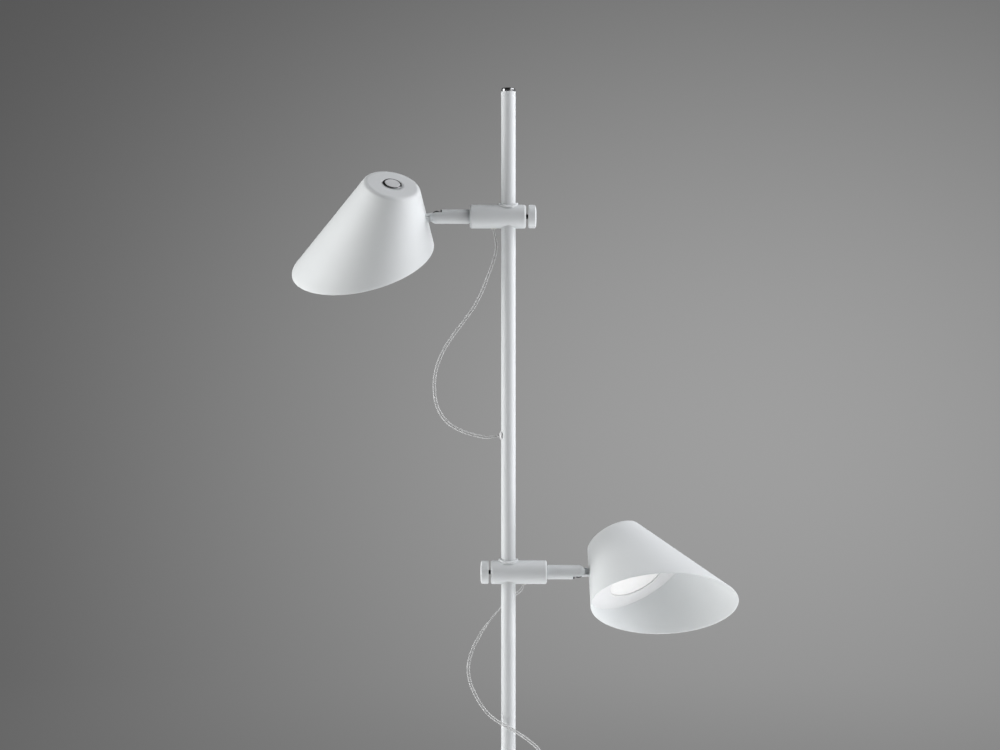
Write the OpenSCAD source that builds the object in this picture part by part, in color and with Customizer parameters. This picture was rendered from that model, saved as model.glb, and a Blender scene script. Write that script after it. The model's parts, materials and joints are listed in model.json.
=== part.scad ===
// Adjustable arm floor lamp: one slim pole on a disc base carries two lamp heads.
// Each head is a sliding clamp, a short arm, a tilt hinge and an obliquely cut cone shade.
// Millimetres, +Z up, origin on the floor at the pole's axis; the heads face +X and -X.

/* [Base] */
// Diameter of the base disc
base_d = 270; // [240:5:300]
// Thickness of the base disc
base_t = 12; // [10:1:16]
// Thickness of the felt pad under the disc
felt_t = 2; // [1.5:0.5:3]
// Height of the hub that holds the pole
hub_h = 21; // [16:1:26]

/* [Pole] */
// Outer diameter of the pole and of the arm rods
tube_d = 20; // [19.5:0.1:20.5]
// Wall thickness of the pole
pole_wall = 1.5; // [1.2:0.1:1.8]
// Length of one of the pole's three sections
section_len = 520; // [515:1:525]
// Height of the dark chrome cap on the pole's top
cap_h = 5; // [4:0.2:8]

/* [Clamps] */
// Height of the upper arm above the floor
upper_arm_z = 1422; // [1400:1:1440]
// Height of the lower arm above the floor
lower_arm_z = 930; // [915:1:945]
// Diameter of the clamp barrel
clamp_d = 33; // [32:0.5:36]
// Reach of the barrel from the pole's axis to its arm end
clamp_reach = 53.4; // [52:0.2:58]
// Reach of the barrel from the pole's axis to its knob end
clamp_back = 24.4; // [24:0.2:28]
// Outer diameter of the saddle collar round the pole
collar_d = 27; // [25:0.5:29]
// Diameter of the knob
knob_d = 32.4; // [28:0.2:36]
// Thickness of the knob
knob_t = 11.5; // [9:0.5:14]
// Gap between the knob and the barrel
knob_gap = 3; // [2.5:0.5:5]

/* [Arms] */
// Distance from the pole's axis to the upper tilt pivot
upper_pivot_x = 99.2; // [95:0.2:104]
// Distance from the pole's axis to the lower tilt pivot
lower_pivot_x = 96.8; // [95:0.2:104]
// Roll of both arms about their own axes
arm_roll = 32; // [0:0.2:60]
// Tilt of the upper head
upper_tilt = 12; // [-30:0.2:60]
// Tilt of the lower head
lower_tilt = 25.2; // [-30:0.2:60]

/* [Shade] */
// Radius that the cone would have at the shade's flat top
shade_top_r = 38.6; // [36:0.2:42]
// Half angle of the cone
shade_angle = 23.6; // [20:0.2:26]
// Depth of the mouth on the shade's axis
shade_depth = 118; // [108:0.2:124]
// Slope of the oblique mouth
mouth_slope = 23.9; // [18:0.1:28]
// Wall thickness of the shade
shade_wall = 1.5; // [1.2:0.1:2]
// Radius of the rounded edge round the top
shade_edge_r = 8; // [5:0.5:9]
// Distance from the tilt pivot to the shade's axis
shade_x = 69.2; // [67:0.2:72]
// Height of the shade's top above the tilt pivot
shade_z = 33.6; // [30:0.2:36]
// Offset of the shade's axis from the arm's, away from the hinge's ear
shade_y = 6.2; // [4:0.2:7]
// Diameter of the push button
button_d = 21.5; // [18:0.5:22]

/* [Cords] */
// Width of the clear twin cord
cord_d = 3.6; // [3:0.2:4]

/* [Hidden] */
$fn = 96;

// The two heads, and what differs between them
upper = 0;
lower = 1;
arm_z = [upper_arm_z, lower_arm_z];
yaw = [180, 0];
tilt = [upper_tilt, lower_tilt];
pivot_x = [upper_pivot_x, lower_pivot_x];

// Fits and cutting allowances
run_gap = 0.05;
flat_gap = 0.3;
eps = 1;

// Colours
white_paint = [0.93, 0.94, 0.95];
dark_metal = [0.16, 0.16, 0.17];
steel = [0.72, 0.73, 0.75];
brass = [0.80, 0.66, 0.34];
nylon = [0.88, 0.88, 0.84];

// Base
base_top = felt_t + base_t;
base_edge_r = 2;
nut_recess_d = 44;
nut_recess_h = 6;
groove_w = 8;
groove_h = 7;
nipple_r = 5;
nipple_bore_r = 3.4;
nut_t = 4.6;
nut_af = 17;
spigot_len = 40;
hub_r = tube_d / 2 + 7;
gland_bore_r = 2.75;
gland_in = 12;
gland_flange = 3;

// Pole
tube_r = tube_d / 2;
pole_in_r = tube_r - pole_wall;
pole_z0 = base_top + hub_h;
seam_1 = pole_z0 + section_len;
seam_2 = seam_1 + section_len;
pole_top = seam_2 + section_len;
seam_chamfer = 0.3;
sleeve_len = 60;
sleeve_wall = 1.7;
cap_r = tube_r - 0.4;
cap_edge_r = 2.4;
cap_spigot = 14;
connector_z = pole_z0 + spigot_len + 10;
connector_h = 28;
upper_grommet_z = 1119;
lower_grommet_z = 627;
grommet_r = 4;
grommet_flange_r = 6.8;
grommet_nose_r = 2.7;
grommet_reach = 12.4;
grommet_bore_r = 2;
lead_r = 1.8;
lead_y = 4;

// Clamp
clamp_r = clamp_d / 2;
clamp_edge_r = 3;
liner_in_r = tube_r + run_gap;
liner_wall = 1.4;
liner_out_r = liner_in_r + liner_wall;
liner_bore_r = liner_out_r + run_gap;
liner_bottom = -12;
liner_top = 11.6;
liner_slit = 2;
lip_r = tube_r + 0.6;
collar_t = 2.4;
collar_r = collar_d / 2;
cord_x = 20.5;
cord_hole_r = 3;
channel_r = 4;
arm_start = 25;
screw_x = 38;
grub_r = 2;
grub_tip = -9;
groove_r = 8.6;
neck_r = 9.1;
neck_w = 1.2;
insert_r = 4.1;
insert_len = 6.5;
thread_r = 3;
pad_r = 3.9;
pad_in = 11.8;
pad_out = 15;
knob_in = clamp_back + knob_gap;
knob_r = knob_d / 2;
knob_dome = 0.9;
bushing_flange = 0.6;

// Arm and hinge, measured from the tilt pivot
arm_bore_r = 7;
arm_bore_end = -14;
ear_in = 4;
step_x = -7.4;
bush_t = 2;
bush_r = tube_r - 0.6;
knuckle_r = 6.2;
knuckle_y0 = -5.2;
knuckle_flat = 4.5;
pivot_r = 2.5;
pivot_head_r = 5;
pivot_head_t = 2.4;
socket_af = 3;
socket_deep = 1.5;
bracket_t = 6;
bracket_y = -1;
bracket_h = 11;
slot_z = [-3.9, 3.9];
slot_w = 1.4;
slot_len = 5.6;
stud_r = 3;
stud_len = 8;
bracket_nut_t = 4;
nut_gap = 1.3;
bracket_nut_af = 10;

// Shade and what it holds, measured down from its top
shade_floor = 172;
mouth_cut = 400;
edge_steps = 8;
wall_distance = (shade_x - side_r(shade_z)) * cos(shade_angle);
button_r = button_d / 2;
button_gap = 0.1;
barrel_r = button_r + 1.3;
bezel_r = button_r + 2.5;
bezel_h = 1.6;
button_top = 2.2;
button_bottom = -2.4;
button_well = -4;
barrel_len = 16;
neck_wall = 3;
carrier_z = 40;
carrier_t = 4;
carrier_r = 40;
board_r = 36;
board_t = 1.6;
ring_z = 72;
ring_t = 3;
ring_in_r = 40;
diffuser_t = 2;
diffuser_drop = 5;

// Cord routes, from each clamp's bushing to its grommet in the pole
upper_route = [
    [-20.5, 0, 1404.9], [-19, -1, 1396], [-16.5, -2, 1382], [-19, -3, 1366],
    [-26, -4, 1346], [-35, -5, 1322], [-47, -6, 1298], [-61, -6, 1278],
    [-76, -6, 1258], [-90, -5, 1236], [-100, -4, 1210], [-102.5, -3, 1184],
    [-98, -2, 1158], [-85, -1, 1138], [-66, 0, 1126], [-46, 0, 1119.5],
    [-30, 0, 1116.5], [-21, 0, 1117.5], [-12.4, 0, 1119]
];
lower_route = [
    [20.5, 0, 912.9], [19, 3.5, 907.5], [14.5, 9, 902], [7, 13.5, 896],
    [-3, 15, 888], [-14, 12, 876], [-27, 6, 861], [-39, 3, 843], [-50, 1, 822],
    [-55.5, 0, 798], [-52, -1, 775], [-41, -3, 752], [-27, -7, 734],
    [-11, -13.5, 723], [6, -15, 713.5], [23, -10, 702], [41, -4, 686],
    [52, 0, 666], [50, 0, 643], [36, 0, 629], [23, 0, 626.5], [12.4, 0, 627]
];
upper_lead = [
    [0, 4, connector_z + connector_h], [0, 4, 1090], [-0.6, 3.6, 1101],
    [-2.2, 2.2, 1111], [-4.8, 0.7, 1117], [-8, 0, 1119], [-12.4, 0, 1119]
];
lower_lead = [
    [0, -4, connector_z + connector_h], [0, -4, 598], [0.6, -3.6, 609],
    [2.2, -2.2, 619], [4.8, -0.7, 625], [8, 0, 627], [12.4, 0, 627]
];

// Radius of the cone's outside at a depth below its top
function side_r(depth) = shade_top_r + depth * tan(shade_angle);

// Outline of the shade, or of its hollow when inset by the wall
function cone_outline(inset, floor) =
    let (cut = shade_edge_r * tan(45 - shade_angle / 2))
    let (mid = [shade_top_r - cut, -shade_edge_r])
    let (step = (90 - shade_angle) / edge_steps)
    concat(
        [[0, -floor], [0, -inset]],
        [for (i = [0:edge_steps])
            mid + (shade_edge_r - inset) * [cos(90 - i * step), sin(90 - i * step)]],
        [[side_r(floor) - inset / cos(shade_angle), -floor]]
    );

// Outline of a turned bar between two heights with rounded edges
function bar_outline(r, low, high, round_r) = concat(
    [[0, low]],
    [for (i = [0:6]) [r - round_r + round_r * sin(i * 15), low + round_r - round_r * cos(i * 15)]],
    [for (i = [0:6]) [r - round_r + round_r * cos(i * 15), high - round_r + round_r * sin(i * 15)]],
    [[0, high]]
);

// A point on the smooth curve through a route, at t from 0 to 1 along its segment i
function route_point(p, i, t) =
    let (a = p[max(i - 1, 0)])
    let (b = p[i])
    let (c = p[i + 1])
    let (d = p[min(i + 2, len(p) - 1)])
    0.5 * (2 * b + (c - a) * t + (2 * a - 5 * b + 4 * c - d) * t * t
        + (3 * b - a - 3 * c + d) * t * t * t);

// The route with each segment cut into equal steps
function smooth_route(p, steps) = concat(
    [for (i = [0:len(p) - 2]) for (k = [0:steps - 1]) route_point(p, i, k / steps)],
    [p[len(p) - 1]]
);

function unit(v) = v / norm(v);
function heading(c, i) = unit(c[min(i + 1, len(c) - 1)] - c[max(i - 1, 0)]);

// A closed tube swept along a route that never runs along Y
module swept_tube(route, r, steps, sides = 8) {
    c = smooth_route(route, steps);
    n = len(c);
    rings = [
        for (i = [0:n - 1])
            let (side = unit(cross(heading(c, i), [0, 1, 0])))
            let (up = cross(side, heading(c, i)))
            for (k = [0:sides - 1])
                c[i] + r * (cos(360 * k / sides) * side + sin(360 * k / sides) * up)
    ];
    walls = [
        for (i = [0:n - 2]) for (k = [0:sides - 1])
            let (a = i * sides, b = (k + 1) % sides)
            [a + k, a + b, a + sides + b, a + sides + k]
    ];
    first = [for (k = [sides - 1:-1:0]) k];
    last = [for (k = [0:sides - 1]) (n - 1) * sides + k];
    polyhedron(points = rings, faces = concat([first], walls, [last]), convexity = 6);
}

module tube(r_out, r_in, h) {
    difference() {
        cylinder(r = r_out, h = h);
        translate([0, 0, -eps]) cylinder(r = r_in, h = h + 2 * eps);
    }
}

module hexagon(af, h) {
    cylinder(d = af / cos(30), h = h, $fn = 6);
}

// A bar along +X made from one that stands on Z
module along_x() {
    rotate([0, 90, 0]) children();
}

// Frames: the clamp at the arm's height, the hinge at the tilt pivot, the head tilted on it
module on_clamp(head) {
    translate([0, 0, arm_z[head]]) rotate([0, 0, yaw[head]]) children();
}

module on_arm(head) {
    on_clamp(head) translate([pivot_x[head], 0, 0]) rotate([-arm_roll, 0, 0]) children();
}

// The ear of each arm faces the front, so the lower hinge is the mirror of the upper one
module on_hinge(head) {
    on_arm(head) mirror([0, head, 0]) children();
}

module on_head(head) {
    on_arm(head) rotate([0, -tilt[head], 0]) children();
}

module on_shade(head) {
    on_head(head) mirror([0, head, 0]) translate([shade_x, -shade_y, shade_z]) children();
}

// Square to the shade's wall, from the pivot into the shade
module on_bracket(head) {
    on_head(head) mirror([0, head, 0]) rotate([0, shade_angle, 0]) children();
}

module foot_pad() {
    color([0.2, 0.2, 0.2]) cylinder(d = base_d - 20, h = felt_t, $fn = 144);
}

module base_disc() {
    color(white_paint) difference() {
        rotate_extrude($fn = 144) polygon(bar_outline(base_d / 2, felt_t, base_top, base_edge_r));
        translate([0, 0, felt_t - eps]) cylinder(d = nut_recess_d, h = nut_recess_h + eps);
        translate([0, 0, felt_t - eps]) cylinder(r = nipple_r + 0.2, h = base_t + 2 * eps);
        translate([-groove_w / 2, 0, felt_t - eps]) cube([groove_w, base_d, groove_h + eps]);
    }
}

module base_hub() {
    color(white_paint) difference() {
        union() {
            translate([0, 0, base_top]) cylinder(r = hub_r, h = hub_h - base_edge_r);
            translate([0, 0, pole_z0 - base_edge_r])
                cylinder(r1 = hub_r, r2 = hub_r - base_edge_r, h = base_edge_r);
            translate([0, 0, base_top]) cylinder(r = pole_in_r, h = hub_h + spigot_len);
        }
        translate([0, 0, base_top - eps]) cylinder(r = nipple_r, h = hub_h + spigot_len + 2 * eps);
    }
}

module base_nipple() {
    color(steel) translate([0, 0, felt_t + 1.2])
        tube(nipple_r, nipple_bore_r, base_top + hub_h + spigot_len / 2 - felt_t);
}

module base_nut() {
    color(steel) translate([0, 0, felt_t + nut_recess_h - nut_t]) difference() {
        hexagon(nut_af, nut_t);
        translate([0, 0, -eps]) cylinder(r = nipple_r, h = nut_t + 2 * eps);
    }
}

module mains_gland() {
    color(dark_metal) difference() {
        union() {
            translate([-groove_w / 2, base_d / 2 - gland_in, felt_t]) cube([groove_w, gland_in, groove_h]);
            translate([-groove_w / 2 - 2, base_d / 2, felt_t])
                cube([groove_w + 4, gland_flange, groove_h + 2]);
        }
        translate([0, base_d / 2 + gland_flange + eps, felt_t + groove_h / 2])
            rotate([90, 0, 0]) cylinder(r = gland_bore_r, h = gland_in + gland_flange + 2 * eps);
    }
}

// One section of the pole, with a small chamfer at each end that shows as a fine seam
module pole_tube(z) {
    translate([0, 0, z]) rotate_extrude() polygon([
        [pole_in_r, 0], [tube_r - seam_chamfer, 0], [tube_r, seam_chamfer],
        [tube_r, section_len - seam_chamfer], [tube_r - seam_chamfer, section_len],
        [pole_in_r, section_len]
    ]);
}

// The round hole that a grommet fills, on the pole's +X or -X side
module grommet_hole(z, side) {
    translate([0, 0, z]) rotate([0, 90 * side, 0]) cylinder(r = grommet_r, h = tube_d);
}

module pole_lower() {
    color(white_paint) pole_tube(pole_z0);
}

module pole_middle() {
    color(white_paint) difference() {
        pole_tube(seam_1);
        grommet_hole(lower_grommet_z, 1);
    }
}

module pole_upper() {
    color(white_paint) difference() {
        pole_tube(seam_2);
        grommet_hole(upper_grommet_z, -1);
    }
}

module pole_sleeves() {
    color(steel) for (seam = [seam_1, seam_2])
        translate([0, 0, seam - sleeve_len / 2]) tube(pole_in_r, pole_in_r - sleeve_wall, sleeve_len);
}

module pole_end_cap() {
    edge = [for (i = [0:6]) cap_edge_r * [cos(i * 15), sin(i * 15)]];
    color(dark_metal) {
        translate([0, 0, pole_top - cap_spigot]) cylinder(r = pole_in_r, h = cap_spigot);
        translate([0, 0, pole_top]) rotate_extrude() polygon(concat(
            [[0, 0], [cap_r, 0]],
            [for (p = edge) [cap_r - cap_edge_r + p[0], cap_h - cap_edge_r + p[1]]],
            [[0, cap_h]]
        ));
    }
}

module splice_connector() {
    color(nylon) translate([0, 0, connector_z]) cylinder(r = pole_in_r, h = connector_h);
}

module pole_leads() {
    color(nylon) {
        swept_tube(upper_lead, lead_r, 2);
        swept_tube(lower_lead, lead_r, 2);
    }
}

// A flared bush pushed into the pole's wall
module grommet(z, side) {
    color(white_paint) difference() {
        translate([0, 0, z]) rotate([0, 90 * side, 0]) difference() {
            union() {
                translate([0, 0, pole_in_r - 1]) cylinder(r = grommet_r, h = 3);
                translate([0, 0, pole_in_r]) cylinder(r = grommet_flange_r, h = pole_wall);
                translate([0, 0, tube_r])
                    cylinder(r1 = grommet_flange_r, r2 = grommet_nose_r, h = grommet_reach - tube_r);
            }
            cylinder(r = grommet_bore_r, h = grommet_reach + eps);
        }
        difference() {
            translate([0, 0, z - tube_d]) cylinder(r = tube_r, h = 2 * tube_d);
            translate([0, 0, z]) rotate([0, 90 * side, 0]) cylinder(r = grommet_r, h = tube_d);
        }
    }
}

module upper_grommet() {
    grommet(upper_grommet_z, -1);
}

module lower_grommet() {
    grommet(lower_grommet_z, 1);
}

module cord(route) {
    color([0.9, 0.92, 0.93, 0.7]) swept_tube(route, cord_d / 2, 2);
}

// Split nylon sleeve between the pole and the clamp
module liner() {
    color(nylon) difference() {
        translate([0, 0, liner_bottom]) tube(liner_out_r, liner_in_r, liner_top - liner_bottom);
        translate([0, -liner_slit / 2, liner_bottom - eps]) cube([clamp_r, liner_slit, clamp_d]);
    }
}

// Barrel that slides on the pole, with its bores for the liner, arm, cord, pad and grub screw
module clamp_body() {
    color(white_paint) difference() {
        along_x() rotate_extrude()
            polygon(bar_outline(clamp_r, -clamp_back, clamp_reach, clamp_edge_r));
        translate([0, 0, liner_bottom - flat_gap]) cylinder(r = liner_bore_r, h = clamp_d);
        translate([0, 0, -clamp_d]) cylinder(r = lip_r, h = clamp_d);
        translate([arm_start - 0.6, 0, 0]) along_x() cylinder(r = tube_r + run_gap, h = clamp_reach);
        translate([cord_x - channel_r + 1, 0, 0]) along_x()
            cylinder(r = channel_r, h = arm_start - cord_x + 4);
        translate([cord_x, 0, -clamp_d]) cylinder(r = cord_hole_r, h = clamp_d);
        translate([screw_x, 0, -clamp_d]) cylinder(r = grub_r, h = clamp_d);
        translate([-clamp_back - eps, 0, 0]) along_x() cylinder(r = insert_r, h = clamp_back);
    }
}

// Saddle ring that follows the barrel and closes the liner's bore
module clamp_collar() {
    color(white_paint) difference() {
        intersection() {
            translate([-clamp_r, 0, 0]) along_x() cylinder(r = clamp_r + collar_t, h = clamp_d);
            translate([0, 0, liner_top + flat_gap]) cylinder(r = collar_r, h = clamp_d);
        }
        difference() {
            translate([-clamp_d, 0, 0]) along_x() cylinder(r = clamp_r, h = 2 * clamp_d);
            cylinder(r = liner_bore_r, h = clamp_d);
        }
        cylinder(r = lip_r, h = clamp_d);
    }
}

module thread_insert() {
    color(brass) translate([-clamp_back, 0, 0]) along_x() tube(insert_r, thread_r + run_gap, insert_len);
}

module cord_bushing() {
    color(nylon) difference() {
        union() {
            translate([cord_x, 0, -clamp_r - bushing_flange]) cylinder(r = cord_hole_r, h = 8);
            difference() {
                translate([cord_x, 0, -clamp_r - bushing_flange]) cylinder(r = cord_hole_r + 1, h = 2);
                along_x() cylinder(r = clamp_r, h = clamp_d);
            }
        }
        translate([cord_x, 0, -clamp_d]) cylinder(r = cord_d / 2 + 0.2, h = clamp_d);
    }
}

module arm_screw() {
    color(dark_metal) difference() {
        translate([screw_x, 0, -clamp_r + 0.3]) cylinder(r = grub_r, h = clamp_r - 0.3 + grub_tip);
        translate([screw_x, 0, -clamp_r - eps]) hexagon(2, 3);
    }
}

module clamp_pad() {
    color(nylon) translate([-pad_out, 0, 0]) along_x() cylinder(r = pad_r, h = pad_out - pad_in);
}

// Turned knob with a slightly domed outer face
module knob() {
    edge = 1;
    dome = [for (i = [1:6]) [(knob_r - edge) * (1 - i / 6), knob_dome * (1 - pow(1 - i / 6, 2))]];
    color(white_paint) difference() {
        translate([-knob_in, 0, 0]) rotate([0, -90, 0]) rotate_extrude() polygon(concat(
            [[0, 0], [knob_r - edge, 0], [knob_r, edge], [knob_r, knob_t - knob_dome - edge]],
            [for (p = dome) [p[0], knob_t - knob_dome + p[1]]],
            [[0, knob_t]]
        ));
        translate([-knob_in - knob_t / 2, 0, 0]) along_x() cylinder(r = thread_r, h = knob_t);
    }
}

module knob_screw() {
    color(dark_metal) translate([-knob_in - knob_t / 2, 0, 0]) along_x()
        cylinder(r = thread_r, h = knob_in + knob_t / 2 - pad_out - 0.2);
}

// Arm rod: a retaining groove, a neck at the barrel, a wire bore, and an end cut to a round ear
module arm_rod(head) {
    length = pivot_x[head] - arm_start;
    color(white_paint) difference() {
        union() {
            translate([-length, 0, 0]) along_x() cylinder(r = tube_r, h = length);
            intersection() {
                sphere(r = tube_r);
                translate([-eps, ear_in, -tube_r]) cube([tube_d, tube_r, tube_d]);
            }
        }
        translate([step_x, -tube_d + ear_in, -tube_d]) cube([2 * tube_d, tube_d, 2 * tube_d]);
        translate([-length - eps, 0, 0]) along_x()
            cylinder(r = arm_bore_r, h = length + arm_bore_end + eps);
        translate([arm_bore_end - eps, 0, 0]) along_x()
            cylinder(r = lead_r + 0.4, h = step_x - arm_bore_end + 2);
        translate([screw_x - pivot_x[head] - grub_r - 0.2, 0, 0]) along_x()
            tube(tube_r + eps, groove_r, 2 * grub_r + 0.4);
        translate([clamp_reach - pivot_x[head], 0, 0]) along_x() tube(tube_r + eps, neck_r, neck_w);
        translate([0, ear_in - eps, 0]) rotate([-90, 0, 0])
            cylinder(r = pivot_r, h = tube_r - ear_in - 0.4);
    }
}

// Black lead through the arm, with the moulded bush that closes the cut behind the knuckle
module arm_lead(head) {
    length = pivot_x[head] - arm_start + 3;
    color(dark_metal) difference() {
        union() {
            translate([-length, 0, 0]) along_x() cylinder(r = lead_r, h = length + step_x + bush_t / 2);
            translate([step_x, 0, 0]) along_x() cylinder(r = bush_r, h = bush_t);
        }
        translate([step_x - eps, ear_in - 0.1, -tube_r]) cube([tube_r, tube_r, tube_d]);
        translate([0, tube_r, 0]) rotate([90, 0, 0]) cylinder(r = knuckle_r + 0.3, h = tube_d);
    }
}

module pivot_screw() {
    head_y = knuckle_y0 - 0.1 - pivot_head_t;
    color(dark_metal) rotate([-90, 0, 0]) difference() {
        union() {
            translate([0, 0, knuckle_y0 - 0.1])
                cylinder(r = pivot_r, h = tube_r - 1.3 - knuckle_y0);
            translate([0, 0, head_y]) cylinder(r = pivot_head_r, h = pivot_head_t);
        }
        translate([0, 0, head_y - eps]) hexagon(socket_af, socket_deep + eps);
    }
}

// Dark steel knuckle that turns on the pivot screw, cut flat where the bracket meets it
module hinge_knuckle() {
    color(dark_metal) difference() {
        translate([0, knuckle_y0, 0]) rotate([-90, 0, 0])
            cylinder(r = knuckle_r, h = ear_in - 0.1 - knuckle_y0);
        translate([0, knuckle_y0 - eps, 0]) rotate([-90, 0, 0])
            cylinder(r = pivot_r + run_gap, h = tube_d);
        translate([knuckle_flat, -tube_r, -tube_r]) cube(tube_d);
    }
}

// White slotted bracket from the knuckle to the shade, its end shaped to the cone, with a stud
module shade_bracket() {
    color(white_paint) translate([0, bracket_y, 0]) {
        difference() {
            translate([knuckle_flat, -bracket_t / 2, -bracket_h / 2])
                cube([wall_distance, bracket_t, bracket_h]);
            for (z = slot_z) translate([knuckle_flat + 2, -bracket_t, z - slot_w / 2])
                cube([slot_len, 2 * bracket_t, slot_w]);
            rotate([0, -shade_angle, 0]) translate([shade_x, -shade_y - bracket_y, shade_z])
                solid_cone();
        }
        translate([wall_distance - 2, 0, 0]) along_x() cylinder(r = stud_r, h = stud_len + 2);
    }
}

module bracket_nut() {
    color(steel) translate([wall_distance + shade_wall + nut_gap, bracket_y, 0]) along_x()
        difference() {
            hexagon(bracket_nut_af, bracket_nut_t);
            translate([0, 0, -eps]) cylinder(r = stud_r, h = bracket_nut_t + 2 * eps);
        }
}

// The shade's outer cone without its rounded top edge
module solid_cone() {
    translate([0, 0, -shade_floor])
        cylinder(r1 = side_r(shade_floor), r2 = side_r(0), h = shade_floor, $fn = 144);
}

// Cone shell with a rounded top edge, cut obliquely, with holes for the switch and the bracket
module shade() {
    color(white_paint) difference() {
        rotate_extrude($fn = 144) polygon(cone_outline(0, shade_floor));
        rotate_extrude($fn = 144) polygon(cone_outline(shade_wall, shade_floor + eps));
        translate([0, 0, -shade_depth]) rotate([0, mouth_slope, 0])
            translate([-mouth_cut / 2, -mouth_cut / 2, -mouth_cut]) cube(mouth_cut);
        translate([0, 0, -eps - shade_wall]) cylinder(r = barrel_r + button_gap, h = shade_wall + 2 * eps);
        translate([-shade_x, shade_y + bracket_y, -shade_z]) rotate([0, shade_angle, 0])
            translate([wall_distance - 3, 0, 0]) along_x() cylinder(r = stud_r, h = 8);
    }
}

// LED board on an aluminium carrier, whose neck screws onto the switch under the shade's top
module led_module() {
    color(steel) {
        translate([0, 0, -carrier_z]) tube(barrel_r + neck_wall, barrel_r, carrier_z - shade_wall);
        translate([0, 0, -carrier_z - carrier_t]) cylinder(r = carrier_r, h = carrier_t);
        translate([0, 0, -carrier_z - carrier_t - board_t]) cylinder(r = board_r, h = board_t);
    }
}

// White plate that closes the cone round the diffuser
module diffuser_ring() {
    inset = shade_wall / cos(shade_angle);
    color(white_paint) translate([0, 0, -ring_z - ring_t]) difference() {
        cylinder(r1 = side_r(ring_z + ring_t) - inset, r2 = side_r(ring_z) - inset, h = ring_t, $fn = 144);
        translate([0, 0, -eps]) cylinder(r = ring_in_r, h = ring_t + 2 * eps);
    }
}

// Opal disc that rests on the ring and bulges a little through its opening
module diffuser() {
    bulge = [for (i = [0:6]) [ring_in_r * cos(i * 15), -ring_z - diffuser_drop * sin(i * 15)]];
    color([1, 1, 0.97]) rotate_extrude() polygon(concat(
        [[0, diffuser_t - ring_z], [ring_in_r + 3, diffuser_t - ring_z], [ring_in_r + 3, -ring_z]],
        [for (p = bulge) p]
    ));
}

// Push switch: bezel, threaded barrel and the well that the button moves in
module switch_body() {
    color(steel) difference() {
        union() {
            cylinder(r = bezel_r, h = bezel_h - 0.5);
            translate([0, 0, bezel_h - 0.5]) cylinder(r1 = bezel_r, r2 = bezel_r - 0.5, h = 0.5);
            translate([0, 0, -barrel_len]) cylinder(r = barrel_r, h = barrel_len);
        }
        translate([0, 0, button_well]) cylinder(r = button_r + button_gap, h = bezel_h - button_well + eps);
    }
}

module button() {
    color(white_paint) {
        translate([0, 0, button_bottom]) cylinder(r = button_r, h = button_top - 0.5 - button_bottom);
        translate([0, 0, button_top - 0.5]) cylinder(r1 = button_r, r2 = button_r - 0.5, h = 0.5);
    }
}

foot_pad();
base_disc();
base_hub();
base_nipple();
base_nut();
mains_gland();
pole_lower();
pole_middle();
pole_upper();
pole_sleeves();
pole_end_cap();
splice_connector();
pole_leads();
upper_grommet();
lower_grommet();
cord(upper_route);  // upper_cord
cord(lower_route);  // lower_cord
on_clamp(upper) liner();  // upper_liner
on_clamp(upper) clamp_body();  // upper_clamp_body
on_clamp(upper) clamp_collar();  // upper_clamp_collar
on_clamp(upper) thread_insert();  // upper_thread_insert
on_clamp(upper) cord_bushing();  // upper_cord_bushing
on_clamp(upper) arm_screw();  // upper_arm_screw
on_clamp(upper) clamp_pad();  // upper_clamp_pad
on_clamp(upper) knob();  // upper_knob
on_clamp(upper) knob_screw();  // upper_knob_screw
on_hinge(upper) arm_rod(upper);  // upper_arm_rod
on_hinge(upper) arm_lead(upper);  // upper_arm_lead
on_hinge(upper) pivot_screw();  // upper_pivot_screw
on_bracket(upper) hinge_knuckle();  // upper_hinge_knuckle
on_bracket(upper) shade_bracket();  // upper_shade_bracket
on_bracket(upper) bracket_nut();  // upper_bracket_nut
on_shade(upper) shade();  // upper_shade
on_shade(upper) led_module();  // upper_led_module
on_shade(upper) diffuser_ring();  // upper_diffuser_ring
on_shade(upper) diffuser();  // upper_diffuser
on_shade(upper) switch_body();  // upper_switch_body
on_shade(upper) button();  // upper_button
on_clamp(lower) liner();  // lower_liner
on_clamp(lower) clamp_body();  // lower_clamp_body
on_clamp(lower) clamp_collar();  // lower_clamp_collar
on_clamp(lower) thread_insert();  // lower_thread_insert
on_clamp(lower) cord_bushing();  // lower_cord_bushing
on_clamp(lower) arm_screw();  // lower_arm_screw
on_clamp(lower) clamp_pad();  // lower_clamp_pad
on_clamp(lower) knob();  // lower_knob
on_clamp(lower) knob_screw();  // lower_knob_screw
on_hinge(lower) arm_rod(lower);  // lower_arm_rod
on_hinge(lower) arm_lead(lower);  // lower_arm_lead
on_hinge(lower) pivot_screw();  // lower_pivot_screw
on_bracket(lower) hinge_knuckle();  // lower_hinge_knuckle
on_bracket(lower) shade_bracket();  // lower_shade_bracket
on_bracket(lower) bracket_nut();  // lower_bracket_nut
on_shade(lower) shade();  // lower_shade
on_shade(lower) led_module();  // lower_led_module
on_shade(lower) diffuser_ring();  // lower_diffuser_ring
on_shade(lower) diffuser();  // lower_diffuser
on_shade(lower) switch_body();  // lower_switch_body
on_shade(lower) button();  // lower_button
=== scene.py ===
"""Looks of the adjustable arm floor lamp: camera, cords, shades, finishes, lights and backdrop.

Metres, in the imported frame: +Z up, origin on the floor at the pole's axis, the heads face +X and -X.
"""

import json
import math

import bpy
from mathutils import Matrix, Vector


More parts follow.
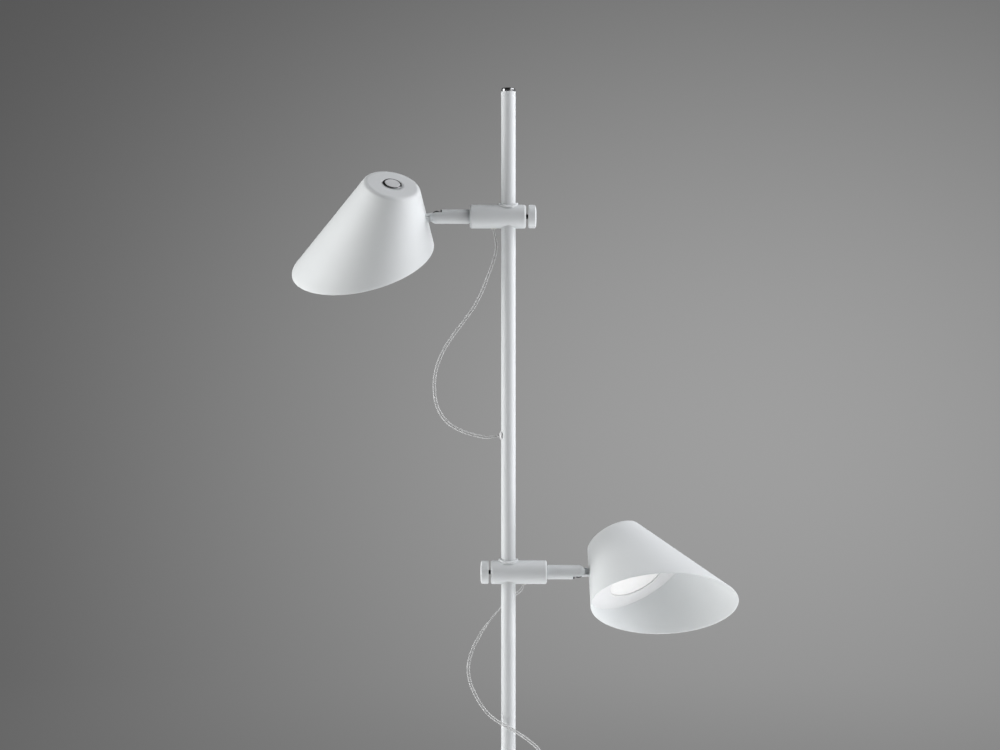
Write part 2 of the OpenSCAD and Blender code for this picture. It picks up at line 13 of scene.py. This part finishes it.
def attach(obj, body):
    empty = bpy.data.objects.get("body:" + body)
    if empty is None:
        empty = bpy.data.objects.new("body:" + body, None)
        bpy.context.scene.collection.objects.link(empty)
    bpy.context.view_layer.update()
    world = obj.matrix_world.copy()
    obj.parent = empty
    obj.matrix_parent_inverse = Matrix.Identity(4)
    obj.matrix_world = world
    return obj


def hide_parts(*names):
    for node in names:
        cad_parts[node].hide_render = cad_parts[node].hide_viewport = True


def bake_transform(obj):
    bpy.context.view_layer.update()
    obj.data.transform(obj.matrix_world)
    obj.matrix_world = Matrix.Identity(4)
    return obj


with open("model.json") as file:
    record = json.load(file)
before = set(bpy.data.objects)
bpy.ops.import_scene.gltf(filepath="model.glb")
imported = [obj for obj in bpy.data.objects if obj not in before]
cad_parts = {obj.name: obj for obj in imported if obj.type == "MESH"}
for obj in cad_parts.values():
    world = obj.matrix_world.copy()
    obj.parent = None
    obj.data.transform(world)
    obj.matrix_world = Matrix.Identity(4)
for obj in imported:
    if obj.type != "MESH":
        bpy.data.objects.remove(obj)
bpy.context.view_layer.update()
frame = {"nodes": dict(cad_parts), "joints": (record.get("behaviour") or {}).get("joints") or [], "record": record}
NODES = frame["nodes"]
JOINTS = {joint["name"]: joint for joint in frame["joints"]}
HEADS = ("upper", "lower")
MM = 0.001

# Camera: its place, its sensor's width, and the width that it sees at the pole
CAMERA_BACK = 3.8
CAMERA_X = -0.0116
CAMERA_Z = 1.2028
SENSOR_MM = 36
VIEW_WIDTH = 1.384

# Clear twin cord
CORD_W = 4.8 * MM
LOBE_R = 0.95 * MM
LOBE_X = CORD_W / 2 - LOBE_R
CORE_R = 0.66 * MM
CORE_SIDES = 8
# Rings from one point of a route to the next, and how far the cord's ends reach into their holes
RING_STEPS = 6
TUCK_IN = 6 * MM
# Width of the cord where it enters a hole, as a share of its full width
PINCH = 0.6
# Points of one lobe's arc, and the half angle that it covers; the web joins the rest
LOBE_POINTS = 13
LOBE_HALF_ARC = math.radians(165)
# Points of its route over which the cord makes a quarter turn, and over which it opens to its full width
TWIST_OVER = 3
OPEN_OVER = 2
ROUTES = {
    "upper": [
        (-0.0205, 0, 1.4049), (-0.019, -0.001, 1.396), (-0.0165, -0.002, 1.382), (-0.019, -0.003, 1.366),
        (-0.026, -0.004, 1.346), (-0.035, -0.005, 1.322), (-0.047, -0.006, 1.298), (-0.061, -0.006, 1.278),
        (-0.076, -0.006, 1.258), (-0.09, -0.005, 1.236), (-0.1, -0.004, 1.21), (-0.1025, -0.003, 1.184),
        (-0.098, -0.002, 1.158), (-0.085, -0.001, 1.138), (-0.066, 0, 1.126), (-0.046, 0, 1.1195),
        (-0.03, 0, 1.1165), (-0.021, 0, 1.1175), (-0.0124, 0, 1.119),
    ],
    "lower": [
        (0.0205, 0, 0.9129), (0.019, 0.0035, 0.9075), (0.0145, 0.009, 0.902), (0.007, 0.0135, 0.896),
        (-0.003, 0.015, 0.888), (-0.014, 0.012, 0.876), (-0.027, 0.006, 0.861), (-0.039, 0.003, 0.843),
        (-0.05, 0.001, 0.822), (-0.0555, 0, 0.798), (-0.052, -0.001, 0.775), (-0.041, -0.003, 0.752),
        (-0.027, -0.007, 0.734), (-0.011, -0.0135, 0.723), (0.006, -0.015, 0.7135), (0.023, -0.01, 0.702),
        (0.041, -0.004, 0.686), (0.052, 0, 0.666), (0.05, 0, 0.643), (0.036, 0, 0.629),
        (0.023, 0, 0.6265), (0.0124, 0, 0.627),
    ],
}
# Point of each route where the run that turns with the clamp meets the run that hangs
MEETING = {"upper": 3, "lower": 5}
# Quarter turns that the flat cord makes about its own line, each by its place along the route's points
TWISTS = {"upper": (), "lower": (3, 6.5)}

# Shade, as the CAD has it: its top's centre from the tilt pivot, then its shape
SHADE_X = 69.2 * MM
SHADE_Y = {"upper": -6.2 * MM, "lower": 6.2 * MM}
SHADE_Z = 33.6 * MM
TOP_R = 38.6 * MM
HALF_ANGLE = math.radians(23.6)
# Down the wall, as radius and height
DOWN_WALL = Vector((math.sin(HALF_ANGLE), -math.cos(HALF_ANGLE)))
MOUTH_DEPTH = 118 * MM
MOUTH_SLOPE = math.radians(23.9)
WALL = 1.5 * MM
EDGE_R = 8 * MM
SWITCH_HOLE_R = 12.15 * MM
# Steps of the shade's mesh: round it, across its flat top, round its top edge, down its wall, round its lip
SHADE_AROUND = 144
FLAT_STEPS = 4
EDGE_STEPS = 10
WALL_STEPS = 24
LIP_STEPS = 6

# Backdrop: a round floor, a fillet and a wall
BACKDROP_MIDDLE_R = 2
FLOOR_R = 7.2
SWEEP_R = 1.6
WALL_H = 5.5
BACKDROP_AROUND = 96
SWEEP_STEPS = 12
# Distances from the pole at which the floor starts and ends its change from pale to dark; the pale floor round the
# lamp is a painted pool of light
PALE_R = 0.9
DARK_R = 2.6
# The painted pool of light: the backdrop gives off light itself, brightest at one spot on the wall. In places
# multiplied by POOL_SHAPE it is a ball, dimmest from POOL_R on.
POOL_SHAPE = (1.27, 0.53, 1.62)
POOL_CENTRE = (1.57, 4.48, 1.45)
POOL_R = 6.0
POOL_BRIGHT = 0.33
POOL_DIM = 0.08


# Meshes

def new_mesh(name, points, faces, material):
    """A smooth mesh object from points and faces."""
    data = bpy.data.meshes.new(name)
    data.from_pydata([tuple(p) for p in points], [], faces)
    data.polygons.foreach_set("use_smooth", [True] * len(data.polygons))
    data.materials.append(material)
    data.validate()
    piece = bpy.data.objects.new(name, data)
    bpy.context.scene.collection.objects.link(piece)
    return piece


def strip_faces(rows, around, first=0):
    """Faces of a sheet of rows, each a closed ring with that many points."""
    return [
        (first + r * around + k, first + r * around + (k + 1) % around,
         first + (r + 1) * around + (k + 1) % around, first + (r + 1) * around + k)
        for r in range(rows - 1) for k in range(around)
    ]


def circle(radius, sides, centre):
    """Points of a circle in a plane."""
    turns = [2 * math.pi * k / sides for k in range(sides)]
    return [(centre[0] + radius * math.cos(a), centre[1] + radius * math.sin(a)) for a in turns]


# Cords

def smooth_line(route, steps):
    """The smooth curve through a route, with equal steps in each segment."""
    points = [Vector(p) for p in route]
    line = []
    for i in range(len(points) - 1):
        a, b, c, d = (points[min(max(i + k, 0), len(points) - 1)] for k in (-1, 0, 1, 2))
        for k in range(steps):
            t = k / steps
            line.append(0.5 * (2 * b + (c - a) * t + (2 * a - 5 * b + 4 * c - d) * t ** 2
                               + (3 * b - a - 3 * c + d) * t ** 3))
    return line + [points[-1]]


def smoothstep(x):
    """Rises smoothly from 0 to 1."""
    x = min(max(x, 0), 1)
    return x * x * (3 - 2 * x)


def cord_rings(line, twists):
    """Ring centres with their width and thickness directions. The flat side starts facing the front and
    turns by a quarter at each twist, and the cord is pinched narrower where it enters a hole."""
    rings = []
    for i, at in enumerate(line):
        along = (line[min(i + 1, len(line) - 1)] - line[max(i - 1, 0)]).normalized()
        wide = along.cross(Vector((0, 1, 0))).normalized()
        thick = wide.cross(along)
        step = i / RING_STEPS
        turn = math.pi / 2 * sum(smoothstep((step - t) / TWIST_OVER + 0.5) for t in twists)
        open_up = smoothstep(min(i, len(line) - 1 - i) / (OPEN_OVER * RING_STEPS))
        width = PINCH + (1 - PINCH) * open_up
        rings.append((at, width * (math.cos(turn) * wide + math.sin(turn) * thick),
                      math.cos(turn) * thick - math.sin(turn) * wide))
    return rings


def swept(name, rings, outlines, material):
    """Closed tubes, one for each outline, swept along the rings."""
    points, faces = [], []
    for outline in outlines:
        first, around = len(points), len(outline)
        points += [at + x * wide + y * thick for at, wide, thick in rings for x, y in outline]
        faces += strip_faces(len(rings), around, first)
        faces.append(tuple(range(first + around - 1, first - 1, -1)))
        faces.append(tuple(range(len(points) - around, len(points))))
    return new_mesh(name, points, faces, material)


def twin_outline():
    """Outline of the two round lobes, joined by a thin web."""
    arc = [LOBE_HALF_ARC * (2 * k / (LOBE_POINTS - 1) - 1) for k in range(LOBE_POINTS)]
    right = [(LOBE_X + LOBE_R * math.cos(a), LOBE_R * math.sin(a)) for a in arc]
    return right + [(-x, -y) for x, y in right]


def cord_run(name, head, rings):
    """One run of a cord between two bodies: its clear jacket with the two cores inside."""
    jacket = swept(name, rings, [twin_outline()], PAINTS["clear_cord"])
    core_outlines = [circle(CORE_R, CORE_SIDES, (side * LOBE_X, 0)) for side in (-1, 1)]
    cores = swept(name + "_cores", rings, core_outlines, PAINTS["cord_core"])
    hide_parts(head + "_cord")
    for piece in (jacket, cores):
        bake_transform(piece)


def add_cord(head):
    """A cord in two runs, split at the route's meeting point: a short run from the clamp and a long run to the
    pole.
    """
    route = ROUTES[head]
    line = smooth_line(route, RING_STEPS)
    rings = cord_rings(line, TWISTS[head])
    at, wide, thick = rings[0]
    rings.insert(0, (at + Vector((0, 0, TUCK_IN)), wide, thick))
    at, wide, thick = rings[-1]
    into_pole = math.copysign(TUCK_IN, -at.x)
    rings.append((at + Vector((into_pole, 0, 0)), wide, thick))
    middle = MEETING[head] * RING_STEPS + 1
    cord_run(head + "_cord_at_clamp", head, rings[:middle + 1])
    cord_run(head + "_cord_free", head, rings[middle:][::-1])


def add_camera():
    """A level camera in front of the lamp."""
    data = bpy.data.cameras.new("camera")
    data.sensor_width = SENSOR_MM
    data.lens = SENSOR_MM * CAMERA_BACK / VIEW_WIDTH
    camera = bpy.data.objects.new("camera", data)
    camera.location = (CAMERA_X, -CAMERA_BACK, CAMERA_Z)
    camera.rotation_euler = (math.pi / 2, 0, 0)
    bpy.context.scene.collection.objects.link(camera)
    bpy.context.scene.camera = camera


# Finishes. Each pattern uses the piece's own coordinates, in metres, so it moves with the piece.

def node(tree, kind, inputs=(), **settings):
    """A shader node; an input is a value or another node's output."""
    made = tree.nodes.new(kind)
    for name, value in settings.items():
        setattr(made, name, value)
    for name, value in dict(inputs).items():
        if isinstance(value, bpy.types.NodeSocket):
            tree.links.new(value, made.inputs[name])
        else:
            made.inputs[name].default_value = value
    return made


def noise(tree, at, scale, detail=2.0, rough=0.5):
    """A cloudy pattern, with about that many features to each unit of its coordinates."""
    return node(tree, "ShaderNodeTexNoise",
                {"Vector": at, "Scale": scale, "Detail": detail, "Roughness": rough}).outputs["Fac"]


def span(tree, value, low, high, start=0.3, end=0.7):
    """A pattern's value, spread from low to high."""
    return node(tree, "ShaderNodeMapRange", {
        "Value": value, "From Min": start, "From Max": end, "To Min": low, "To Max": high}).outputs["Result"]


def blend_colour(tree, share, first, second):
    """A colour between two, by a pattern's value."""
    mix = node(tree, "ShaderNodeMix", data_type="RGBA")
    tree.links.new(share, mix.inputs["Factor"])
    mix.inputs["A"].default_value = (*first, 1)
    mix.inputs["B"].default_value = (*second, 1)
    return mix.outputs["Result"]


def bump(tree, height, depth, normal=None):
    """A relief of that depth, in metres, over another one where its normal is given."""
    inputs = {"Height": height, "Distance": depth, "Strength": 1.0}
    if normal is not None:
        inputs["Normal"] = normal
    return node(tree, "ShaderNodeBump", inputs).outputs["Normal"]


def new_material(name):
    """A material with its tree, its shader and the piece's own coordinates."""
    material = bpy.data.materials.new(name)
    material.use_nodes = True
    tree = material.node_tree
    shader = tree.nodes["Principled BSDF"]
    at = node(tree, "ShaderNodeTexCoord").outputs["Object"]
    return material, tree, shader, at


def dress(tree, shader, colour, roughness, normal=None, **fixed):
    """Links the shader's patterned inputs, and sets those that are the same all over."""
    for name, value in (("Base Color", colour), ("Roughness", roughness), ("Normal", normal)):
        if isinstance(value, bpy.types.NodeSocket):
            tree.links.new(value, shader.inputs[name])
        elif value is not None:
            shader.inputs[name].default_value = value
    for name, value in fixed.items():
        shader.inputs[name.replace("_", " ")].default_value = value


def powder_coat(name, light, dark, rough, peel):
    """Matte powder coat: a soft orange peel over a fine grain, with faint clouds in its tint and shine."""
    material, tree, shader, at = new_material(name)
    grain = noise(tree, at, 1500, 3, 0.6)
    waves = noise(tree, at, 260, 1)
    clouds = noise(tree, at, 14, 3)
    relief = bump(tree, waves, peel, bump(tree, grain, 0.05 * MM))
    shine = node(tree, "ShaderNodeMath", {0: grain, 1: clouds}, operation="ADD").outputs[0]
    dress(tree, shader, blend_colour(tree, span(tree, clouds, 0, 1), dark, light),
          span(tree, shine, rough + 0.06, rough - 0.06, 0.7, 1.3), relief, Specular_IOR_Level=0.45)
    return material


def bright_metal(name, colour, rough, fineness):
    """Bright metal: fine streaks along Z under faint handling marks."""
    material, tree, shader, at = new_material(name)
    stretched = node(tree, "ShaderNodeMapping", {"Vector": at, "Scale": (60, 60, 1)}).outputs["Vector"]
    streaks = noise(tree, stretched, fineness, 2)
    marks = noise(tree, at, 90, 4, 0.6)
    dress(tree, shader, blend_colour(tree, span(tree, marks, 0, 1), [c * 0.86 for c in colour], colour),
          span(tree, marks, rough * 0.7, rough * 1.4), bump(tree, streaks, 0.006 * MM), Metallic=1.0)
    return material


def plated(name, colour, rough, cells, metal=1.0):
    """Plated or blackened metal: a mottled skin with small scratches."""
    material, tree, shader, at = new_material(name)
    mottle = noise(tree, at, cells, 5, 0.65)
    scratch = noise(tree, node(tree, "ShaderNodeMapping", {
        "Vector": at, "Rotation": (0.5, 0.3, 0.8), "Scale": (900, 60, 900)}).outputs["Vector"], 1, 3)
    dress(tree, shader, blend_colour(tree, span(tree, mottle, 0, 1), [c * 0.7 for c in colour], colour),
          span(tree, mottle, rough - 0.08, rough + 0.1), bump(tree, scratch, 0.01 * MM), Metallic=metal)
    return material


def moulded(name, colour, rough, texture, painted_glow=0.0, soft=0.0):
    """Moulded plastic: fine spark texture and faint flow marks. A soft one lets light under its skin. Its glow is
    painted light: the plastic gives off light of its own.
    """
    material, tree, shader, at = new_material(name)
    sparks = node(tree, "ShaderNodeTexVoronoi", {"Vector": at, "Scale": texture}).outputs["Distance"]
    flow = noise(tree, at, 30, 2)
    dress(tree, shader, blend_colour(tree, span(tree, flow, 0, 1), [c * 0.96 for c in colour], colour),
          span(tree, flow, rough - 0.05, rough + 0.05), bump(tree, sparks, 0.03 * MM),
          Subsurface_Weight=soft, Subsurface_Scale=2 * MM, Subsurface_Radius=(1, 1, 1),
          Emission_Strength=painted_glow, Emission_Color=(1, 1, 1, 1))
    return material


def felt():
    """Dark needled felt: short matted fibres with a soft sheen."""
    material, tree, shader, at = new_material("felt")
    fibres = noise(tree, node(tree, "ShaderNodeMapping", {
        "Vector": at, "Scale": (1400, 500, 900)}).outputs["Vector"], 1, 5, 0.7)
    tufts = noise(tree, at, 220, 3)
    colour = blend_colour(tree, span(tree, fibres, 0, 1), (0.018, 0.018, 0.02), (0.06, 0.06, 0.065))
    dress(tree, shader, colour, span(tree, tufts, 0.85, 1.0), bump(tree, fibres, 0.4 * MM),
          Sheen_Weight=0.4, Sheen_Roughness=0.6)
    return material


def clear_jacket():
    """Clear soft plastic, as a thin see-through skin with the faint waves of an extrusion."""
    material, tree, shader, at = new_material("clear_cord")
    waves = noise(tree, at, 160, 2)
    dress(tree, shader, (0.75, 0.76, 0.76, 1), span(tree, waves, 0.24, 0.32), bump(tree, waves, 0.005 * MM),
          Alpha=0.2)
    return material


def wrapped_core():
    """Wires in a thin white wrap, with slow bands where the wires' twist shows."""
    material, tree, shader, at = new_material("cord_core")
    twist = node(tree, "ShaderNodeTexWave", {"Vector": at, "Scale": 80, "Distortion": 2.0},
                 wave_type="BANDS", bands_direction="DIAGONAL").outputs["Fac"]
    dress(tree, shader, blend_colour(tree, twist, (0.82, 0.82, 0.81), (0.9, 0.9, 0.9)),
          span(tree, twist, 0.35, 0.5, 0, 1), bump(tree, twist, 0.01 * MM))
    return material


def make_paints():
    """One finish for each of the record's material slots, and one for the cords' cores."""
    white, shaded = (0.825, 0.85, 0.86), (0.8, 0.825, 0.835)
    shade_white, shade_shaded = (0.842, 0.866, 0.87), (0.822, 0.846, 0.85)
    return {
        "white_steel": powder_coat("white_steel", white, shaded, 0.5, 0.05 * MM),
        "white_aluminium": powder_coat("white_aluminium", white, shaded, 0.46, 0.04 * MM),
        "shade_paint": powder_coat("shade_paint", shade_white, shade_shaded, 0.55, 0.03 * MM),
        "chrome": bright_metal("chrome", (0.34, 0.345, 0.35), 0.2, 22),
        "black_steel": plated("black_steel", (0.05, 0.05, 0.055), 0.34, 400, 0.8),
        "zinc_steel": plated("zinc_steel", (0.66, 0.68, 0.7), 0.32, 160),
        "bare_aluminium": bright_metal("bare_aluminium", (0.85, 0.86, 0.87), 0.28, 14),
        "brass": bright_metal("brass", (0.75, 0.56, 0.25), 0.25, 26),
        "nylon": moulded("nylon", (0.8, 0.8, 0.76), 0.45, 900, soft=0.3),
        "white_plastic": moulded("white_plastic", (0.86, 0.865, 0.87), 0.42, 1100, soft=0.1),
        "button_plastic": moulded("button_plastic", (0.8, 0.81, 0.82), 0.35, 1300, soft=0.1),
        # The opal's faint glow is painted light, which brightens the diffuser and the inside of the shade
        "opal": moulded("opal", (0.93, 0.93, 0.92), 0.4, 700, painted_glow=0.08, soft=0.4),
        "clear_cord": clear_jacket(),
        "cord_core": wrapped_core(),
        "black_rubber": moulded("black_rubber", (0.03, 0.03, 0.032), 0.6, 800),
        "felt": felt(),
    }


def paint_nodes():
    """Gives each CAD node the finish of its slot in the record."""
    for part in frame["record"]["subparts"]:
        data = NODES[part["node"]].data
        data.materials.clear()
        data.materials.append(PAINTS[part["material_slot"]])


# Shades

def head_frame(head):
    """The shade's own frame: origin at its top's centre, Z up its axis, X away from the tilt pivot."""
    up = -Vector(JOINTS[head + "_press"]["axis"]).normalized()
    across = -Vector(JOINTS[head + "_tilt"]["axis"]).normalized()
    out = across.cross(up)
    pivot = Vector(JOINTS[head + "_tilt"]["pos_m"])
    origin = pivot + SHADE_X * out + SHADE_Y[head] * across + SHADE_Z * up
    turned = Matrix((out, across, up)).transposed()
    return Matrix.Translation(origin) @ turned.to_4x4()


def mouth_point(turn, inset):
    """Radius and depth where the cone, inset by that much of its wall, meets the oblique mouth."""
    start = TOP_R - inset / math.cos(HALF_ANGLE)
    lean = math.cos(turn) * math.tan(MOUTH_SLOPE)
    depth = (MOUTH_DEPTH + start * lean) / (1 - math.tan(HALF_ANGLE) * lean)
    return Vector((start + depth * math.tan(HALF_ANGLE), -depth))


def wall_line(turn, inset):
    """One side of the shade's wall at one turn, from the switch hole to just short of the lip."""
    cut = EDGE_R * math.tan(math.pi / 4 - HALF_ANGLE / 2)
    centre = Vector((TOP_R - cut, -EDGE_R))
    bend = math.pi / 2 - HALF_ANGLE
    flat = [Vector((SWITCH_HOLE_R + (centre.x - SWITCH_HOLE_R) * k / FLAT_STEPS, -inset))
            for k in range(FLAT_STEPS)]
    arc = [centre + (EDGE_R - inset) * Vector((math.sin(a), math.cos(a)))
           for a in (bend * k / EDGE_STEPS for k in range(EDGE_STEPS + 1))]
    end = mouth_point(turn, inset) - WALL / 2 * DOWN_WALL
    straight = [arc[-1].lerp(end, k / WALL_STEPS) for k in range(1, WALL_STEPS + 1)]
    return flat + arc + straight


def shade_profile(turn):
    """The whole section at one turn: outer face, rolled lip, inner face."""
    outer, inner = wall_line(turn, 0), wall_line(turn, WALL)
    middle = (outer[-1] + inner[-1]) / 2
    half = (outer[-1] - inner[-1]) / 2
    lip = [middle + math.cos(a) * half + math.sin(a) * WALL / 2 * DOWN_WALL
           for a in (math.pi * k / LIP_STEPS for k in range(1, LIP_STEPS))]
    return outer + lip + inner[::-1]


def add_shade(head):
    """The spun shade with its lip rolled smooth."""
    around = SHADE_AROUND
    turns = [2 * math.pi * k / around for k in range(around)]
    profiles = [shade_profile(turn) for turn in turns]
    rows = len(profiles[0])
    points = [Vector((p[r].x * math.cos(t), p[r].x * math.sin(t), p[r].y))
              for r in range(rows) for p, t in zip(profiles, turns)]
    faces = strip_faces(rows, around) + [
        ((rows - 1) * around + k, (rows - 1) * around + (k + 1) % around, (k + 1) % around, k)
        for k in range(around)]
    placed = head_frame(head)
    shade = new_mesh(head + "_shade_spun", [placed @ p for p in points],
                     [face[::-1] for face in faces], PAINTS["shade_paint"])
    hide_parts(head + "_shade")
    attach(shade, head + "_head")


# Backdrop and lights

def add_backdrop():
    """A round sweep: a floor painted pale near the lamp as a pool of light, a wide fillet, and a wall with a
    painted pool of light that it gives off itself.
    """
    profile = [(BACKDROP_MIDDLE_R, 0), (FLOOR_R, 0)]
    profile += [(FLOOR_R + SWEEP_R * math.sin(a), SWEEP_R * (1 - math.cos(a)))
                for a in (math.pi / 2 * k / SWEEP_STEPS for k in range(1, SWEEP_STEPS + 1))]
    profile.append((FLOOR_R + SWEEP_R, WALL_H))
    around = BACKDROP_AROUND
    points = [(r * math.cos(a), r * math.sin(a), z) for r, z in profile
              for a in (2 * math.pi * k / around for k in range(around))]
    faces = strip_faces(len(profile), around) + [tuple(range(around))[::-1]]
    sweep = new_mesh("backdrop", points, faces, backdrop_paint())


def backdrop_paint():
    """Painted light: a pale floor near the lamp as a pool of light, and beyond it a dark ground that glows with a
    painted pool of light.
    """
    material, tree, shader, at = new_material("backdrop")
    split = node(tree, "ShaderNodeSeparateXYZ", {"Vector": at})
    flat = node(tree, "ShaderNodeCombineXYZ", {"X": split.outputs["X"], "Y": split.outputs["Y"]})
    reach = node(tree, "ShaderNodeVectorMath", {0: flat.outputs[0]}, operation="LENGTH").outputs["Value"]
    far = node(tree, "ShaderNodeMapRange", {"Value": reach, "From Min": PALE_R, "From Max": DARK_R},
               interpolation_type="SMOOTHSTEP").outputs["Result"]
    squeezed = node(tree, "ShaderNodeVectorMath", {0: at, 1: POOL_SHAPE}, operation="MULTIPLY")
    pool = node(tree, "ShaderNodeVectorMath", {0: squeezed.outputs["Vector"], 1: POOL_CENTRE},
                operation="DISTANCE").outputs["Value"]
    painted_glow = node(tree, "ShaderNodeMapRange", {
        "Value": pool, "From Min": 0.0, "From Max": POOL_R, "To Min": POOL_BRIGHT, "To Max": POOL_DIM},
        interpolation_type="SMOOTHSTEP").outputs["Result"]
    shine = node(tree, "ShaderNodeMath", {0: far, 1: painted_glow}, operation="MULTIPLY").outputs[0]
    colour = blend_colour(tree, far, (0.62, 0.62, 0.62), (0.1, 0.1, 0.1))
    dress(tree, shader, colour, 0.9, Specular_IOR_Level=0.0, Emission_Color=(1, 1, 1, 1))
    tree.links.new(shine, shader.inputs["Emission Strength"])
    return material


def add_softbox(name, at, aim, size, power, tint=(1, 1, 1)):
    """A rectangular soft light that the camera doesn't see."""
    data = bpy.data.lights.new(name, "AREA")
    data.color = tint
    data.shape = "RECTANGLE"
    data.size, data.size_y = size
    data.energy = power
    light = bpy.data.objects.new(name, data)
    light.location = at
    light.rotation_euler = (Vector(aim) - Vector(at)).to_track_quat("-Z", "Y").to_euler()
    light.visible_camera = False
    bpy.context.scene.collection.objects.link(light)


def add_lights():
    """Softboxes at both sides, above and below, and a nearly dark room."""
    cool = (0.97, 0.97, 1.0)
    add_softbox("left_high", (-2.1, -0.2, 1.7), (0, 0, 1.2), (1.2, 1.4), 26)
    add_softbox("left_low", (-2.1, -0.2, 0.65), (0, 0, 1.0), (1.2, 1.1), 19)
    add_softbox("right_low", (2.1, -0.2, 0.65), (0, 0, 1.0), (1.2, 1.1), 22, cool)
    add_softbox("right_front_high", (1.8, -1.6, 1.8), (0, 0, 1.2), (1.2, 1.4), 8)
    add_softbox("right_front_low", (1.8, -1.6, 0.7), (0, 0, 1.0), (1.2, 1.1), 6)
    add_softbox("top_right", (1.3, 0, 2.5), (0, 0, 1.1), (1.6, 1.6), 29, cool)
    add_softbox("below", (0, 0.1, 0.05), (0, 0.1, 1.4), (2.4, 1.4), 8)
    world = bpy.data.worlds.new("room")
    world.use_nodes = True
    world.node_tree.nodes["Background"].inputs["Color"].default_value = (0.01, 0.01, 0.01, 1)
    bpy.context.scene.world = world
    bpy.context.scene.view_settings.view_transform = "Standard"


add_camera()
PAINTS = make_paints()
for head in HEADS:
    add_cord(head)
    add_shade(head)
paint_nodes()
add_backdrop()
add_lights()
